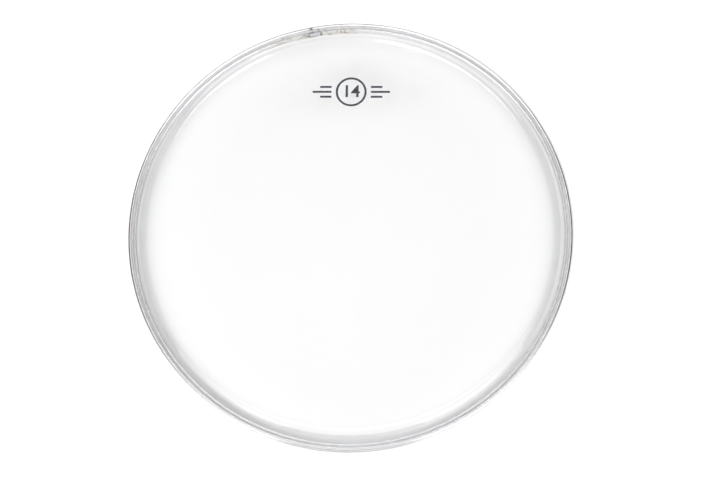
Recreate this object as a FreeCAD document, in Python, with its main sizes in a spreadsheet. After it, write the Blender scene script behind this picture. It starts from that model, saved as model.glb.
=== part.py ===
# Clear fourteen inch drum head: a formed film whose perforated skirt is cast into a rolled
# aluminium channel hoop. Z runs up through the film, z = 0 is the underside of the hoop, and
# the origin is on the axis. Lengths are in millimetres and angles in degrees.
import FreeCAD
import Part
import Sketcher
import math
import os

# Driving dimensions: alias, value, meaning
DIMENSIONS = (
    ("shell_diameter", 355.6, "nominal outside diameter of the drum shell"),
    ("shell_clearance", 0.5, "gap on the radius between the shell and the hoop"),
    ("hoop_height", 9.0, "underside of the hoop to the top of its lip"),
    ("inner_wall", 1.7, "thickness of the low inner wall"),
    ("inner_wall_height", 6.5, "underside of the hoop to the top of the inner wall"),
    ("outer_wall", 1.1, "thickness of the outer wall below the lip"),
    ("floor_thickness", 1.0, "thickness of the channel floor"),
    ("groove_mouth", 1.6, "opening between the inner wall and the lip"),
    ("lip_width", 2.55, "width of the turned-in lip"),
    ("lip_thickness", 1.8, "height of the turned-in lip"),
    ("lip_edge_share", 0.3, "edge break on top of the lip, as a share of its thickness"),
    ("base_edge_share", 0.7, "edge break under the channel, as a share of its floor"),
    ("seam_gap", 0.9, "gap where the two ends of the hoop meet"),
    ("seam_angle", 101.4, "place of the seam, turned from X towards Y"),
    ("key_length", 11.6, "length of the key that bridges the seam"),
    ("key_clearance", 0.15, "gap between the key and the film, and from the bore to the key"),
    ("key_shift", 2.75, "distance along the wall from the seam to the key's middle"),
    ("notch_gap", 0.25, "gap between each end of the key and the notched inner wall"),
    ("key_round_share", 0.45, "corner rounds of the key, as a share of its width"),
    ("key_edge_share", 0.12, "edge break on top of the key, as a share of its width"),
    ("film_gauge", 0.0762, "thickness of the film, three thousandths of an inch"),
    ("film_inset", 0.25, "gap between the inner wall and the film's skirt"),
    ("skirt_gap", 0.5, "gap below the skirt, over the channel floor"),
    ("foot_rise", 0.6, "straight skirt above the inner wall, before the collar leans in"),
    ("collar_angle", 55.0, "slope of the collar above the flat"),
    ("collar_rise", 10.4, "height of the film's top above the lip"),
    ("shoulder_radius", 10.0, "inside bend radius between the collar and the flat"),
    ("slot_length", 6.0, "length of a punched slot along the skirt"),
    ("slot_height", 1.3, "height of a punched slot"),
    ("slot_count", 24, "number of slots round the skirt"),
    ("resin_drop", 2.1, "top of the inner wall down to the resin"),
    ("cut_overrun", 1.0, "length by which a cut runs past what it cuts"),
)

# Places worked out from the dimensions: name, formula
PLACES = (
    ("bore_radius", "Dimensions.shell_diameter / 2 + Dimensions.shell_clearance"),
    ("groove_radius", ".bore_radius + Dimensions.inner_wall"),
    ("lip_radius", ".groove_radius + Dimensions.groove_mouth"),
    ("outer_radius", ".lip_radius + Dimensions.lip_width"),
    ("cavity_radius", ".outer_radius - Dimensions.outer_wall"),
    ("lip_underside", "Dimensions.hoop_height - Dimensions.lip_thickness"),
    ("lip_edge", "Dimensions.lip_thickness * Dimensions.lip_edge_share"),
    ("base_edge", "Dimensions.floor_thickness * Dimensions.base_edge_share"),
    ("seam_sweep", "360 - 360 * Dimensions.seam_gap / (2 * pi * .outer_radius)"),
    ("skirt_radius", ".groove_radius + Dimensions.film_inset"),
    ("skirt_bottom", "Dimensions.floor_thickness + Dimensions.skirt_gap"),
    ("foot_height", "Dimensions.inner_wall_height + Dimensions.foot_rise"),
    ("film_top", "Dimensions.hoop_height + Dimensions.collar_rise"),
    ("film_underside", ".film_top - Dimensions.film_gauge"),
    ("resin_level", "Dimensions.inner_wall_height - Dimensions.resin_drop"),
    ("slot_middle", "(.skirt_bottom + .resin_level) / 2"),
    ("slot_top", ".slot_middle + Dimensions.slot_height / 2"),
    ("slot_bottom", ".slot_middle - Dimensions.slot_height / 2"),
    ("slot_right", "Dimensions.slot_length / 2"),
    ("slot_left", "-Dimensions.slot_length / 2"),
    ("slot_turn", "180 / Dimensions.slot_count"),
    ("slot_start", ".skirt_radius + Dimensions.film_gauge + Dimensions.cut_overrun"),
    ("slot_depth", "Dimensions.film_gauge + 2 * Dimensions.cut_overrun"),
    ("key_inner", ".bore_radius + Dimensions.key_clearance"),
    ("key_outer", ".skirt_radius - Dimensions.key_clearance"),
    ("key_width", ".key_outer - .key_inner"),
    ("key_height", "Dimensions.inner_wall_height - Dimensions.floor_thickness"),
    ("key_end", "Dimensions.key_length / 2"),
    ("key_start", "-Dimensions.key_length / 2"),
    ("key_round", ".key_width * Dimensions.key_round_share"),
    ("key_edge", ".key_width * Dimensions.key_edge_share"),
    ("key_turn", "360 * Dimensions.key_shift / (2 * pi * .key_outer)"),
    ("key_angle", "Dimensions.seam_angle - .key_turn"),
    ("notch_inner", ".bore_radius - Dimensions.cut_overrun"),
    ("notch_outer", ".skirt_radius"),
    ("notch_end", ".key_end + Dimensions.notch_gap"),
    ("notch_start", "-.notch_end"),
    ("notch_depth", ".key_height + Dimensions.cut_overrun"),
)

# How far an edge may lie from a height and still count as level there
LEVEL_TOLERANCE = 1e-4

doc = FreeCAD.newDocument("DrumHead")


def make_sheet():
    """Spreadsheet that holds the driving dimensions, one row each."""
    sheet = doc.addObject("Spreadsheet::Sheet", "Dimensions")
    for row, (alias, value, meaning) in enumerate(DIMENSIONS, start=1):
        sheet.set(f"A{row}", meaning)
        sheet.set(f"B{row}", str(value))
        sheet.setAlias(f"B{row}", alias)
    doc.recompute()
    return sheet


def make_places():
    """Set of worked-out places, each bound to the sheet and to the places before it."""
    places = doc.addObject("App::VarSet", "Places")
    for name, formula in PLACES:
        places.addProperty("App::PropertyFloat", name, "Places")
        places.setExpression(name, formula)
        doc.recompute()
    return places


sheet = make_sheet()
places = make_places()


def owner(name):
    """The object that holds a named size."""
    return places if name in places.PropertiesList else sheet


def size(name):
    """Value of a named size."""
    return float(getattr(owner(name), name))


def bind(target, path, name):
    """Ties a property of the target to a named size."""
    target.setExpression(path, f"{owner(name).Name}.{name}")


def hold(sketch, constraint, name):
    """Adds a sized constraint and ties it to a named size."""
    index = sketch.addConstraint(constraint)
    bind(sketch, f"Constraints[{index}]", name)


def origin_feature(body, role):
    """A plane or an axis of the body's own origin."""
    return next(feature for feature in body.Origin.OriginFeatures if feature.Role == role)


def new_sketch(body, name, plane):
    """Empty sketch on one of the body's origin planes."""
    sketch = body.newObject("Sketcher::SketchObject", name)
    sketch.AttachmentSupport = (origin_feature(body, plane), [""])
    sketch.MapMode = "FlatFace"
    return sketch


def nearest_end(sketch, curve, point):
    """Start (1) or end (2) of a sketch curve, whichever is at the point."""
    return min((1, 2), key=lambda end: sketch.getPoint(curve, end).distanceToPoint(point))


def draw_outline(sketch, corners):
    """Closed outline through sharp corners (x, y, radius). Returns its sides, each from its
    corner to the next, and its rounds, None at a corner that stays sharp."""
    points = [FreeCAD.Vector(x, y, 0) for x, y, radius in corners]
    starts = []
    ends = []
    middles = []
    for index, (x, y, radius) in enumerate(corners):
        point = points[index]
        back = (points[index - 1] - point).normalize()
        ahead = (points[(index + 1) % len(points)] - point).normalize()
        half_angle = back.getAngle(ahead) / 2
        inward = (back + ahead).normalize()
        reach = radius / math.tan(half_angle)
        starts.append(point + back * reach)
        ends.append(point + ahead * reach)
        middles.append(point + inward * (radius / math.sin(half_angle) - radius))
    sides = []
    rounds = []
    for index, (x, y, radius) in enumerate(corners):
        following = starts[(index + 1) % len(points)]
        sides.append(sketch.addGeometry(Part.LineSegment(ends[index], following)))
    for index, (x, y, radius) in enumerate(corners):
        if radius:
            arc = Part.Arc(starts[index], middles[index], ends[index])
            rounds.append(sketch.addGeometry(arc))
        else:
            rounds.append(None)
    for index, curve in enumerate(rounds):
        before = sides[index - 1]
        after = sides[index]
        if curve is None:
            sketch.addConstraint(Sketcher.Constraint("Coincident", before, 2, after, 1))
            continue
        first = nearest_end(sketch, curve, starts[index])
        last = 3 - first
        sketch.addConstraint(Sketcher.Constraint("Tangent", before, 2, curve, first))
        sketch.addConstraint(Sketcher.Constraint("Tangent", curve, last, after, 1))
    return sides, rounds


def place_upright(sketch, side, name):
    """Makes a side upright and holds its distance from the sketch's vertical axis."""
    sketch.addConstraint(Sketcher.Constraint("Vertical", side))
    hold(sketch, Sketcher.Constraint("DistanceX", -1, 1, side, 1, size(name)), name)


def place_level(sketch, side, name):
    """Makes a side level and holds its height, or lays it on the horizontal axis."""
    sketch.addConstraint(Sketcher.Constraint("Horizontal", side))
    if name is None:
        sketch.addConstraint(Sketcher.Constraint("PointOnObject", side, 1, -1))
    else:
        hold(sketch, Sketcher.Constraint("DistanceY", -1, 1, side, 1, size(name)), name)


def square_outline(sketch, corners):
    """Outline of upright and level sides through corners given by the names of their x, y and
    round. A y of None is the horizontal axis and a round of None is a sharp corner."""

    def number(name):
        return 0 if name is None else size(name)

    values = [tuple(number(name) for name in corner) for corner in corners]
    sides, rounds = draw_outline(sketch, values)
    for index, (across, up, rounding) in enumerate(corners):
        next_across = corners[(index + 1) % len(corners)][0]
        if across == next_across:
            place_upright(sketch, sides[index], across)
        else:
            place_level(sketch, sides[index], up)
        if rounding:
            radius = Sketcher.Constraint("Radius", rounds[index], size(rounding))
            hold(sketch, radius, rounding)


def revolve(body, sketch, name):
    """Full turn of a sketch about the head's axis."""
    turn = body.newObject("PartDesign::Revolution", name)
    turn.Profile = sketch
    turn.ReferenceAxis = (sketch, ["V_Axis"])
    sketch.Visibility = False
    return turn


def break_edges(body, feature, name, height, depth, curved_only):
    """Chamfer on the edges of a feature that lie level at a height."""
    level = []
    for number, edge in enumerate(feature.Shape.Edges, start=1):
        box = edge.BoundBox
        lies_there = max(abs(box.ZMin - height), abs(box.ZMax - height)) < LEVEL_TOLERANCE
        if lies_there and (isinstance(edge.Curve, Part.Circle) or not curved_only):
            level.append(f"Edge{number}")
    chamfer = body.newObject("PartDesign::Chamfer", name)
    chamfer.Base = (feature, level)
    bind(chamfer, "Size", depth)
    body.Tip = chamfer
    doc.recompute()
    return chamfer


def make_hoop():
    """Channel hoop with a turned-in lip, a low notched inner wall and one open seam."""
    body = doc.addObject("PartDesign::Body", "Hoop")
    body.Label = "channel_hoop"
    section = new_sketch(body, "HoopSection", "XZ_Plane")
    square_outline(
        section,
        (
            ("outer_radius", None, None),
            ("outer_radius", "hoop_height", None),
            ("lip_radius", "hoop_height", None),
            ("lip_radius", "lip_underside", None),
            ("cavity_radius", "lip_underside", None),
            ("cavity_radius", "floor_thickness", None),
            ("groove_radius", "floor_thickness", None),
            ("groove_radius", "inner_wall_height", None),
            ("bore_radius", "inner_wall_height", None),
            ("bore_radius", None, None),
        ),
    )
    ring = revolve(body, section, "HoopRing")
    bind(ring, "Angle", "seam_sweep")
    ring.Midplane = True
    doc.recompute()
    lip = break_edges(body, ring, "LipEdge", size("hoop_height"), "lip_edge", True)
    break_edges(body, lip, "BaseEdge", 0, "base_edge", True)
    notch_wall(body)
    # The middle of the sweep is on the X axis, so the seam opens opposite to it.
    body.Placement.Rotation.Axis = FreeCAD.Vector(0, 0, 1)
    body.setExpression("Placement.Rotation.Angle", "Dimensions.seam_angle - 180")
    return body


def notch_wall(body):
    """Notch in the inner wall, down to the channel floor, that takes the key."""
    before = body.Shape.Volume
    outline = new_sketch(body, "NotchOutline", "XY_Plane")
    outline.AttachmentOffset.Rotation.Axis = FreeCAD.Vector(0, 0, 1)
    outline.setExpression("AttachmentOffset.Rotation.Angle", "180 - Places.key_turn")
    bind(outline, "AttachmentOffset.Base.z", "floor_thickness")
    square_outline(
        outline,
        (
            ("notch_outer", "notch_start", None),
            ("notch_outer", "notch_end", None),
            ("notch_inner", "notch_end", None),
            ("notch_inner", "notch_start", None),
        ),
    )
    notch = body.newObject("PartDesign::Pocket", "Notch")
    notch.Profile = outline
    notch.Reversed = True
    bind(notch, "Length", "notch_depth")
    outline.Visibility = False
    body.Tip = notch
    doc.recompute()
    if not body.Shape.Volume < before:
        raise RuntimeError("the notch cuts nothing")


def make_film():
    """Clear film: flat, shoulder, sloped collar and a skirt with a row of slots."""
    body = doc.addObject("PartDesign::Body", "Film")
    body.Label = "clear_film"
    section = new_sketch(body, "FilmSection", "XZ_Plane")
    slope = math.radians(size("collar_angle"))
    gauge = size("film_gauge")
    shoulder_round = size("shoulder_radius")
    skirt = size("skirt_radius")
    underside = size("film_underside")
    # Sharp corners of the inner face, then those of the outer face, one gauge away.
    foot = size("foot_height")
    shoulder = skirt - (underside - foot) / math.tan(slope)
    outer_foot = foot + gauge * math.tan(math.pi / 4 - slope / 2)
    outer_shoulder = shoulder + gauge * math.tan(slope / 2)
    sides, rounds = draw_outline(
        section,
        (
            (skirt, size("skirt_bottom"), 0),
            (skirt, foot, 0),
            (shoulder, underside, shoulder_round),
            (0, underside, 0),
            (0, size("film_top"), 0),
            (outer_shoulder, size("film_top"), shoulder_round + gauge),
            (skirt + gauge, outer_foot, 0),
            (skirt + gauge, size("skirt_bottom"), 0),
        ),
    )
    inner_skirt, inner_collar, inner_flat, middle, outer_flat, outer_collar, outer_skirt, hem = sides
    inner_shoulder = rounds[2]
    outer_shoulder_arc = rounds[5]
    place_upright(section, inner_skirt, "skirt_radius")
    section.addConstraint(Sketcher.Constraint("Vertical", outer_skirt))
    place_level(section, hem, "skirt_bottom")
    hold(section, Sketcher.Constraint("DistanceX", hem, 2, hem, 1, gauge), "film_gauge")
    place_level(section, inner_flat, "film_underside")
    section.addConstraint(Sketcher.Constraint("PointOnObject", middle, 1, -2))
    section.addConstraint(Sketcher.Constraint("PointOnObject", middle, 2, -2))
    place_level(section, outer_flat, "film_top")
    section.addConstraint(Sketcher.Constraint("Parallel", inner_collar, outer_collar))
    section.addConstraint(Sketcher.Constraint("Coincident", inner_shoulder, 3, outer_shoulder_arc, 3))
    hold(section, Sketcher.Constraint("Radius", inner_shoulder, shoulder_round), "shoulder_radius")
    crease = Sketcher.Constraint("DistanceY", -1, 1, inner_collar, 1, foot)
    hold(section, crease, "foot_height")
    tilt = section.addConstraint(Sketcher.Constraint("Angle", inner_collar, math.pi - slope))
    section.setExpression(f"Constraints[{tilt}]", "180 deg - Dimensions.collar_angle * 1 deg")
    revolve(body, section, "FilmSkin")
    doc.recompute()
    punch_skirt(body)
    return body


def punch_skirt(body):
    """Row of slots in the skirt, which the resin runs through."""
    before = body.Shape.Volume
    outline = new_sketch(body, "SlotOutline", "YZ_Plane")
    # Half a pitch from the X axis, so that no slot lies on the seam line of the skirt's faces.
    outline.AttachmentOffset.Rotation.Axis = FreeCAD.Vector(0, 1, 0)
    bind(outline, "AttachmentOffset.Rotation.Angle", "slot_turn")
    turn = "(Places.slot_turn * 1 deg)"
    outline.setExpression("AttachmentOffset.Base.x", f"Places.slot_start * sin{turn}")
    outline.setExpression("AttachmentOffset.Base.z", f"Places.slot_start * cos{turn}")
    square_outline(
        outline,
        (
            ("slot_right", "slot_bottom", None),
            ("slot_right", "slot_top", None),
            ("slot_left", "slot_top", None),
            ("slot_left", "slot_bottom", None),
        ),
    )
    slot = body.newObject("PartDesign::Pocket", "Slot")
    slot.Profile = outline
    bind(slot, "Length", "slot_depth")
    outline.Visibility = False
    doc.recompute()
    row = body.newObject("PartDesign::PolarPattern", "SlotRow")
    row.Originals = [slot]
    row.Axis = (origin_feature(body, "Z_Axis"), [""])
    row.Angle = 360
    bind(row, "Occurrences", "slot_count")
    body.Tip = row
    doc.recompute()
    if not body.Shape.Volume < before:
        raise RuntimeError("the slots cut nothing")


def make_key():
    """Rounded key that bridges the seam in the notch of the inner wall."""
    body = doc.addObject("PartDesign::Body", "Key")
    body.Label = "splice_key"
    outline = new_sketch(body, "KeyOutline", "XY_Plane")
    square_outline(
        outline,
        (
            ("key_outer", "key_start", "key_round"),
            ("key_outer", "key_end", "key_round"),
            ("key_inner", "key_end", "key_round"),
            ("key_inner", "key_start", "key_round"),
        ),
    )
    block = body.newObject("PartDesign::Pad", "KeyBlock")
    block.Profile = outline
    bind(block, "Length", "key_height")
    outline.Visibility = False
    doc.recompute()
    break_edges(body, block, "KeyEdge", size("key_height"), "key_edge", False)
    body.Placement.Rotation.Axis = FreeCAD.Vector(0, 0, 1)
    body.setExpression("Placement.Rotation.Angle", "Places.key_angle")
    body.setExpression("Placement.Base.z", "Dimensions.floor_thickness")
    return body


def make_resin(film, key):
    """Cast resin that fills the foot of the channel around the skirt, its slots and the key."""
    body = doc.addObject("PartDesign::Body", "ResinCasting")
    section = new_sketch(body, "ResinSection", "XZ_Plane")
    square_outline(
        section,
        (
            ("cavity_radius", "floor_thickness", None),
            ("cavity_radius", "resin_level", None),
            ("groove_radius", "resin_level", None),
            ("groove_radius", "floor_thickness", None),
        ),
    )
    revolve(body, section, "ResinRing")
    around_key = doc.addObject("Part::Cut", "ResinAroundKey")
    around_key.Base = body
    around_key.Tool = key
    bed = doc.addObject("Part::Cut", "Resin")
    bed.Base = around_key
    bed.Tool = film
    bed.Label = "resin_bed"
    return bed


def check(parts):
    """Stops on a failed object, or a part that is not one sound solid."""
    for item in doc.Objects:
        if "Invalid" in item.State or "Error" in item.State:
            raise RuntimeError(f"{item.Name} failed: {item.State}")
    for part in parts:
        shape = part.Shape
        if shape.isNull() or not shape.isValid() or len(shape.Solids) != 1:
            raise RuntimeError(f"{part.Label} is not one sound solid")


def main():
    """Builds the four pieces and writes one file for each."""
    hoop = make_hoop()
    film = make_film()
    key = make_key()
    resin = make_resin(film, key)
    parts = (hoop, film, key, resin)
    doc.recompute()
    check(parts)
    os.makedirs("parts", exist_ok=True)
    for part in parts:
        part.Shape.exportStep(f"parts/{part.Label}.step")
        box = part.Shape.optimalBoundingBox()
        print(
            f"{part.Label}: {part.Shape.Volume:.1f} cubic mm,"
            f" {box.XLength:.2f} by {box.YLength:.2f} by {box.ZLength:.2f} mm,"
            f" from z {box.ZMin:.2f}"
        )


main()
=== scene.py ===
"""Looks of a clear drum head: hoop, splice key, cast resin, formed film and printed size mark."""

import math

import bmesh
import bpy
from bpy.props import FloatProperty, FloatVectorProperty, IntProperty, PointerProperty, StringProperty
from mathutils import Matrix, Vector


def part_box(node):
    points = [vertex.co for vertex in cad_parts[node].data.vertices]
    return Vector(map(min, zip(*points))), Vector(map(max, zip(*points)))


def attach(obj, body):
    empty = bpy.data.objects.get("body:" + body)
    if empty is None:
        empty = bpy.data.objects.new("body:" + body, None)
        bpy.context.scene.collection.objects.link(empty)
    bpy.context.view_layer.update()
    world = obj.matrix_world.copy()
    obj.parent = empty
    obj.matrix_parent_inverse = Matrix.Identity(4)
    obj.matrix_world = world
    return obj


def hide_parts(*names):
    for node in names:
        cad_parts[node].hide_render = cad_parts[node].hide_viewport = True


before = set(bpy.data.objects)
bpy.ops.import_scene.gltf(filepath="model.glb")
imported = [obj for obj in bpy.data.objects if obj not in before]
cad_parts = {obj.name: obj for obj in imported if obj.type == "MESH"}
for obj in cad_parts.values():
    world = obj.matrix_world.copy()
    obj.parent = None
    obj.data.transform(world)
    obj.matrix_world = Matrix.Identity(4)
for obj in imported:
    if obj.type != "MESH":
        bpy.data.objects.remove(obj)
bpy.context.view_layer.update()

bl_info = {
    "name": "Clear drum head",
    "version": (1, 0, 0),
    "blender": (4, 5, 0),
    "location": "View3D > Sidebar > Drum head",
    "description": "Dresses the packed drum head with its finished pieces, stage and camera",
    "category": "Object",
}

BODY = "root"
MM = 0.001
FULL_TURN = 2 * math.pi
# Faces that meet at more than this angle meet in a sharp edge
SHARP_ANGLE = math.radians(35)
# Length by which a cut runs past what it cuts
OVERRUN = MM
# Points of a finished piece that are closer than this become one
WELD_DISTANCE = 1e-7
# Attribute that holds the rounding of a section's corners
ROUND_LAYER = "round"
# Values between which most of a noise lies
NOISE_SPAN = (0.3, 0.7)

# Lamps, each with its place and size in metres, its power in watts and the surfaces that it serves
LAMPS = (
    ("front_softbox", (-0.45, -2.7, 2.56), (2.52, 1.62), 79, "matt"),
    ("front_panel", (0.2, -1.5, 1.6), (4.6, 2.2), 36, "glossy"),
    ("left_softbox", (-1.9, -0.15, 1.05), (0.9, 0.9), 25, "matt"),
    ("right_softbox", (1.9, 0.1, 1.05), (0.9, 0.9), 22, "matt"),
    ("far_panel", (0, 2, 0.8), (3.2, 1.3), 21, "glossy"),
    ("near_left_panel", (-1.6, -1.6, 0.8), (1.8, 1.4), 9, "glossy"),
    ("near_right_panel", (1.6, -1.6, 0.8), (1.8, 1.4), 9, "glossy"),
    ("back_left_strip", (-0.4, 0.775, 1.33), (0.3, 0.26), 1.1, "glossy"),
    ("back_right_strip", (0.21, 0.825, 1.33), (0.41, 0.26), 1.5, "glossy"),
)
# Strength of the surroundings near the horizon and overhead, and the sines of the heights between them
SKY_LOW, SKY_HIGH = 0.06, 1.05
SKY_RISE = (0.78, 0.96)
# Direction, strength and spread of the brightest spot overhead
GLEAM_WAY = Vector((-0.05, 0.38, 0.92)).normalized()
GLEAM = 0.3
GLEAM_SPREAD = math.radians(13)
# Width of the camera's sensor, in millimetres
SENSOR_WIDTH = 36


def node_radii(node):
    """Smallest and largest distance of a CAD node's points from the head's axis."""
    spans = [math.hypot(point.co.x, point.co.y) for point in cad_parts[node].data.vertices]
    return min(spans), max(spans)


# Sizes that the frame gives, in metres
BORE_RADIUS, OUTER_RADIUS = node_radii("channel_hoop")
GROOVE_RADIUS, CAVITY_RADIUS = node_radii("resin_bed")
SKIRT_RADIUS = node_radii("clear_film")[1]
KEY_INNER, KEY_OUTER = node_radii("splice_key")
HOOP_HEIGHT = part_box("channel_hoop")[1].z
SKIRT_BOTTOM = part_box("clear_film")[0].z
FILM_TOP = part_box("clear_film")[1].z
FLOOR_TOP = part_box("resin_bed")[0].z
RESIN_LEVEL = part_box("resin_bed")[1].z
KEY_LOW, KEY_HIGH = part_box("splice_key")
KEY_ANGLE = math.atan2(KEY_LOW.y + KEY_HIGH.y, KEY_LOW.x + KEY_HIGH.x)


# Settings


def length(name, description, default):
    """Property for a length in metres."""
    return FloatProperty(
        name=name, description=description, default=default, precision=5, unit="LENGTH", subtype="DISTANCE"
    )


def limits(name, description, start, end):
    """Property for the two places between which a finish changes, in metres."""
    return FloatVectorProperty(
        name=name, description=description, default=(start, end), size=2, precision=5, unit="LENGTH"
    )


def angle(name, description, degrees):
    """Property for an angle, given in degrees."""
    return FloatProperty(
        name=name, description=description, default=math.radians(degrees), unit="ROTATION", subtype="ANGLE"
    )


def share(name, description, default):
    """Property for a share from nothing to all."""
    return FloatProperty(
        name=name, description=description, default=default, min=0, max=1, subtype="FACTOR"
    )


def number(name, description, default):
    """Property for a plain number."""
    return FloatProperty(name=name, description=description, default=default)


def count(name, description, default):
    """Property for a whole number."""
    return IntProperty(name=name, description=description, default=default, min=3)


def colour(name, description, default):
    """Property for a linear colour."""
    return FloatVectorProperty(
        name=name, description=description, default=default, size=3, min=0, max=1, subtype="COLOR"
    )


class HoopSettings(bpy.types.PropertyGroup):
    """Section and finish of the channel hoop."""

    outer_radius: length("Outer radius", "Axis to the outer wall", OUTER_RADIUS)
    bore_radius: length("Bore radius", "Axis to the inside of the inner wall", BORE_RADIUS)
    groove_radius: length("Groove radius", "Axis to the groove side of the inner wall", GROOVE_RADIUS)
    cavity_radius: length("Cavity radius", "Axis to the inside of the outer wall", CAVITY_RADIUS)
    height: length("Height", "Underside to the top of the lip", HOOP_HEIGHT)
    wall_height: length("Inner wall height", "Underside to the top of the inner wall", KEY_HIGH.z)
    floor_top: length("Floor", "Underside to the channel floor", FLOOR_TOP)
    lip_width: length("Lip width", "Width of the turned-in lip", 2.55 * MM)
    lip_thickness: length("Lip thickness", "Height of the turned-in lip", 1.8 * MM)
    lip_round: length("Lip round", "Rounding of the lip's outer edge", 1.2 * MM)
    nose_round: length("Nose round", "Rounding of the lip's inner edges", 0.7 * MM)
    wall_round: length("Wall round", "Rounding of the inner wall's top", 0.35 * MM)
    channel_round: length("Channel round", "Rounding inside the channel", 0.3 * MM)
    base_round: length("Base round", "Rounding under the channel", 0.35 * MM)
    segments: count("Segments", "Steps round the hoop", 400)
    round_steps: count("Round steps", "Points on each rounding", 8)
    seam_gap: length("Seam gap", "Gap between the hoop's two ends", 0.4 * MM)
    seam_angle: angle("Seam angle", "Place of the seam, turned from X towards Y", 101.4)
    # Bands where shade is painted on the rim: the lip's outer edge and the outer wall's foot
    rim_shade_band: limits("Dull rim", "Where the rim dulls, out from the outer wall", -1.45 * MM, -MM)
    edge_shade_band: limits("Dull edge", "Where the lip's edge dulls, up from its top", -1.5 * MM, -1.1 * MM)
    foot_shade_band: limits("Dull foot", "Where the wall's foot clears, up from its base", 1.2 * MM, 4.5 * MM)
    smear_depth: limits("Smear depth", "Where the smear ends, out from the inner wall", 0, 0.3 * MM)
    smear_reach: limits("Smear reach", "Where the smear ends, along from the seam", 20 * MM, 60 * MM)
    # Painted shadow along the seam's gap: how far it reaches
    seam_shade_reach: limits("Soot reach", "Where the soot ends, along from the seam's edge", 0.6 * MM, 1.2 * MM)
    metal: colour("Metal", "Colour of the bare aluminium", (0.90, 0.90, 0.905))
    # Colour of the painted shade on the rim's edge and foot
    rim_shade: colour("Painted rim shade", "Colour of the dulled outer edges", (0.42, 0.39, 0.40))
    smear: colour("Smear", "Colour of the resin smeared on the wall near the seam", (0.78, 0.76, 0.72))
    smudge: colour("Smudge", "Colour of the brown smudges near the seam", (0.22, 0.155, 0.10))
    # Colour of the painted shadow along the seam's gap
    seam_shade: colour("Seam shade", "Colour of the dark edges of the seam", (0.07, 0.07, 0.08))


class KeySettings(bpy.types.PropertyGroup):
    """Key that bridges the seam."""

    inner_radius: length("Inner radius", "Axis to the key's inner side", KEY_INNER)
    outer_radius: length("Outer radius", "Axis to the key's outer corners", KEY_OUTER)
    top: length("Top", "Underside of the hoop to the key's top", KEY_HIGH.z)
    turn: angle("Turn", "Place of the key, turned from X towards Y", math.degrees(KEY_ANGLE))
    span: length("Span", "Length of the key along the wall", 11.6 * MM)
    notch_gap: length("Notch gap", "Gap between each end of the key and the notch", 0.25 * MM)
    # Painted shadow of the gaps round the key: where it sets in at the ends and the rear, and its colour
    end_shade: limits("End grime", "Where dirt sets in, out from the key's ends", -1.7 * MM, -0.8 * MM)
    rear_shade: limits("Rear grime", "Where dirt sets in, out from the key's rear", -MM, -0.5 * MM)
    metal: colour("Metal", "Colour of the dull key", (0.70, 0.70, 0.74))
    gap_shade: colour("Gap shade", "Colour of the dirt at the key's edges", (0.13, 0.13, 0.14))


class ResinSettings(bpy.types.PropertyGroup):
    """Cast resin in the channel."""

    level: length("Level", "Underside of the hoop to the resin", RESIN_LEVEL)
    climb: length("Climb", "Height that the resin climbs at its edges", 0.35 * MM)
    bowl: share("Bowl", "Rounding of the hollow surface, as a share of the largest that fits", 0.95)
    ripple: length("Ripple", "Unevenness of the poured surface", 0.22 * MM)
    segments: count("Segments", "Steps round the resin", 720)
    round_steps: count("Round steps", "Points on each rounding", 6)
    stain_full: angle("Stain start", "Turn from the seam at which the stains start to thin", 4)
    stain_end: angle("Stain end", "Turn from the seam at which the stains end", 26)
    # Painted light: the resin glows to lift the shade in its groove
    painted_glow: share("Painted glow", "Light that comes back out of the resin", 0.27)
    cream: colour("Cream", "Colour of the resin", (0.86, 0.86, 0.87))
    stain: colour("Stain", "Colour of its brown stains", (0.30, 0.22, 0.13))


class FilmSettings(bpy.types.PropertyGroup):
    """Formed clear film."""

    skirt_radius: length("Skirt radius", "Axis to the outside of the skirt", SKIRT_RADIUS)
    skirt_bottom: length("Skirt bottom", "Underside of the hoop to the skirt's hem", SKIRT_BOTTOM)
    top: length("Top", "Underside of the hoop to the film's top", FILM_TOP)
    gauge: length("Gauge", "Thickness of the film", 0.0762 * MM)
    foot_rise: length("Foot rise", "Straight skirt above the inner wall", 0.6 * MM)
    foot_round: length("Foot round", "Bend between the skirt and the collar", 0.6 * MM)
    collar_angle: angle("Collar angle", "Slope of the collar against the flat", 55)
    shoulder_round: length("Shoulder round", "Inside bend between the collar and the flat", 12.5 * MM)
    flat_margin: length("Flat margin", "Flat beside the shoulder with points of its own", 2 * MM)
    segments: count("Segments", "Steps round the film", 400)
    round_steps: count("Round steps", "Points on each bend", 16)
    slot_count: count("Slots", "Number of slots in the skirt", 24)
    slot_length: length("Slot length", "Length of a slot along the skirt", 6 * MM)
    slot_height: length("Slot height", "Height of a slot", 1.3 * MM)
    rib_angle: angle("Ribs", "Middle of the ribbed stretch, turned from X towards Y", 113.5)
    rib_spread: angle("Rib spread", "Turn from that middle at which the ribs end", 8)
    rib_pitch: length("Rib pitch", "Distance from rib to rib", 2.2 * MM)
    rib_band: limits("Rib band", "Where the ribs start and end, out from the skirt", -11 * MM, -6.5 * MM)
    rib_taper: length("Rib taper", "Length over which a rib sets in and ends", MM)
    haze_band: limits("Haze band", "Where the drawn film turns hazy, out from the skirt", -15 * MM, -6 * MM)
    face_mirror: share("Face mirror", "Share of light mirrored at a square look", 0.03)
    glance_mirror: share("Glance mirror", "Share of light added to it at a glancing look", 0.85)
    glance_power: number("Glance power", "How late the glancing mirror sets in", 4.2)
    tint: colour("Tint", "Colour of the film's sheen", (0.93, 0.94, 0.96))


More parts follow.
